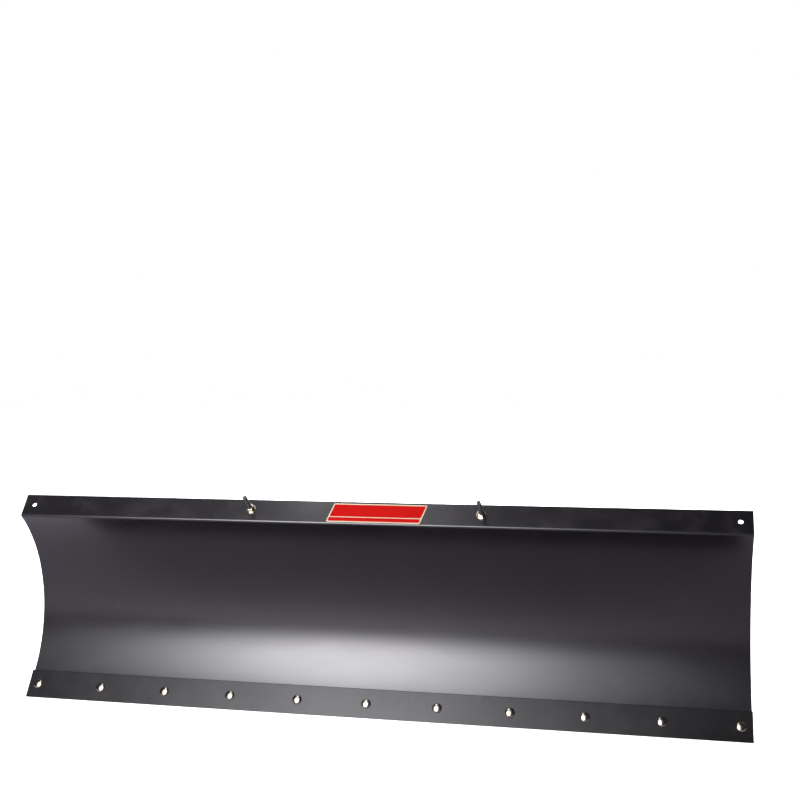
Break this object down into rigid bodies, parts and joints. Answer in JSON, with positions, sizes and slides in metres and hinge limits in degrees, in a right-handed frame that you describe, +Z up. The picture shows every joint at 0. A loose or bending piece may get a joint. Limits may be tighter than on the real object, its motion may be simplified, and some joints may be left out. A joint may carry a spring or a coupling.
{
  "type": "snow plow blade",
  "caption": "Straight snow plow blade with rolled moldboard, bolted wear bar, spring trip hinges, skid shoes, angling push frame and under-vehicle pivot plate.",
  "frame": {"origin": "on the ground under the middle of the cutting edge", "axes": "+X along the blade, to the right of someone facing its front; +Y towards the vehicle; +Z up"},
  "size_m": [1.578, 1.3741, 0.4687],
  "materials": {
    "black_paint": "satin black powder coat",
    "wear_steel": "satin black paint on flat steel bar",
    "zinc": "bright zinc plate",
    "spring_steel": "oiled spring wire",
    "shoe_iron": "black painted cast iron",
    "decal": "red vinyl"
  },
  "bodies": {
    "vehicle_mount": {"vehicle_plate": "black_paint", "mount_ears": "black_paint", "mount_pins": "zinc", "mount_linch_pins": "zinc"},
    "push_frame": {"upper_nose_plate": "black_paint", "lower_nose_plate": "black_paint", "front_cross_member": "black_paint", "middle_brace": "black_paint", "rear_brace": "black_paint", "lift_bracket": "black_paint", "king_bolt": "zinc", "king_washers": "zinc", "king_nut": "zinc", "lock_housing": "black_paint", "lock_spring": "spring_steel", "rear_sleeves": "black_paint", "left_push_tube": "black_paint", "right_push_tube": "black_paint"},
    "lock_plunger": {"lock_pin": "zinc", "lock_handle": "zinc"},
    "swivel_frame": {"swivel_beam": "black_paint", "sector_plate": "black_paint", "hinge_knuckles": "black_paint", "post_gussets": "black_paint", "trip_stops": "black_paint", "left_spring_post": "black_paint", "right_spring_post": "black_paint"},
    "blade": {"moldboard": "black_paint", "wear_bar": "wear_steel", "wear_bar_bolts": "zinc", "wear_bar_nuts": "zinc", "bottom_stiffener": "black_paint", "middle_rib": "black_paint", "outer_ribs": "black_paint", "flange_decal": "decal", "hinge_pins": "zinc", "hinge_cotters": "zinc", "left_hinge_ribs": "black_paint", "right_hinge_ribs": "black_paint", "left_spring_eyebolt": "zinc", "right_spring_eyebolt": "zinc", "eyebolt_nuts": "zinc", "eyebolt_washers": "zinc", "left_trip_spring": "spring_steel", "right_trip_spring": "spring_steel", "left_shoe_bracket": "black_paint", "right_shoe_bracket": "black_paint", "stored_spacers": "zinc"},
    "left_shoe": {"left_skid_shoe": "shoe_iron", "left_shoe_stem": "zinc", "left_shoe_spacers": "zinc", "left_shoe_linch_pin": "zinc"},
    "right_shoe": {"right_skid_shoe": "shoe_iron", "right_shoe_stem": "zinc", "right_shoe_spacers": "zinc", "right_shoe_linch_pin": "zinc"}
  },
  "joints": [
    {"name": "lift_pivot", "type": "hinge", "parent": "vehicle_mount", "child": "push_frame", "pos_m": [0, 1.251, 0.237], "axis": [-1, 0, 0], "range_deg": [-4, 16]},
    {"name": "lock_pin_slide", "type": "slide", "parent": "push_frame", "child": "lock_plunger", "axis": [0, 0, 1], "range_m": [-0.026, 0], "deforming": ["lock_spring"]},
    {"name": "blade_angle", "type": "hinge", "parent": "push_frame", "child": "swivel_frame", "pos_m": [0, 0.236, 0.101], "axis": [0, 0, 1], "range_deg": [-30, 30]},
    {"name": "blade_trip", "type": "hinge", "parent": "swivel_frame", "child": "blade", "pos_m": [0, 0.093, 0.101], "axis": [1, 0, 0], "range_deg": [0, 35], "deforming": ["left_trip_spring", "right_trip_spring"]},
    {"name": "left_shoe_drop", "type": "slide", "parent": "blade", "child": "left_shoe", "axis": [0, 0, 1], "range_m": [-0.012, 0]},
    {"name": "right_shoe_drop", "type": "slide", "parent": "blade", "child": "right_shoe", "axis": [0, 0, 1], "range_m": [-0.012, 0]}
  ]
}
